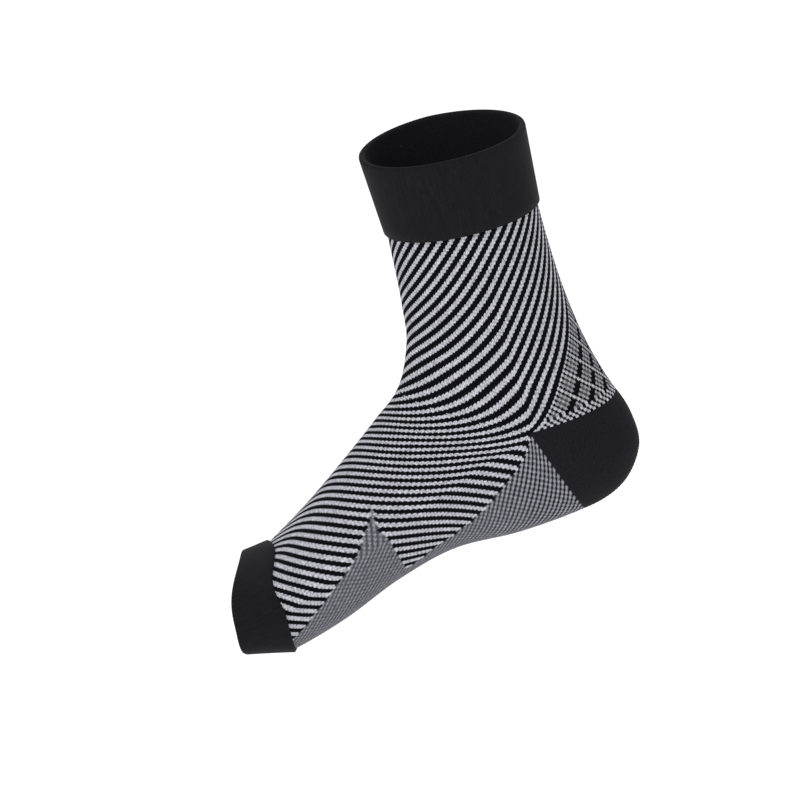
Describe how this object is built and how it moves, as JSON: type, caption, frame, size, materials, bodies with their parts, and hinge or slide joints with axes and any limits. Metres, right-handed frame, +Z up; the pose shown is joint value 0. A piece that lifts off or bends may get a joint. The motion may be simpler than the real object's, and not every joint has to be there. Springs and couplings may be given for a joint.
{
  "type": "ankle compression sleeve",
  "caption": "Open-toed knitted compression sleeve for the ankle and foot, with a folded cuff, heel pocket, striped body and toe band, in its worn form.",
  "frame": {"origin": "middle of the ankle, inside the sleeve, where the wearer's ankle holds it", "axes": "+Z up along the leg with the sole level, toes towards -X, the ankle's inner side towards -Y"},
  "size_m": [0.2161, 0.0762, 0.1966],
  "materials": {
    "cuff": "black ribbed knit, matte",
    "striped_sleeve": "black and heathered white diagonal stripes, knit",
    "achilles_panel": "black and white diamond knit",
    "heel_pocket": "black plain knit, matte",
    "sole_panel": "black and white birdseye knit",
    "toe_band": "black ribbed knit, matte"
  },
  "bodies": {
    "root": {"cuff": "cuff", "striped_sleeve": "striped_sleeve", "achilles_panel": "achilles_panel", "heel_pocket": "heel_pocket", "sole_panel": "sole_panel", "toe_band": "toe_band"}
  },
  "joints": []
}
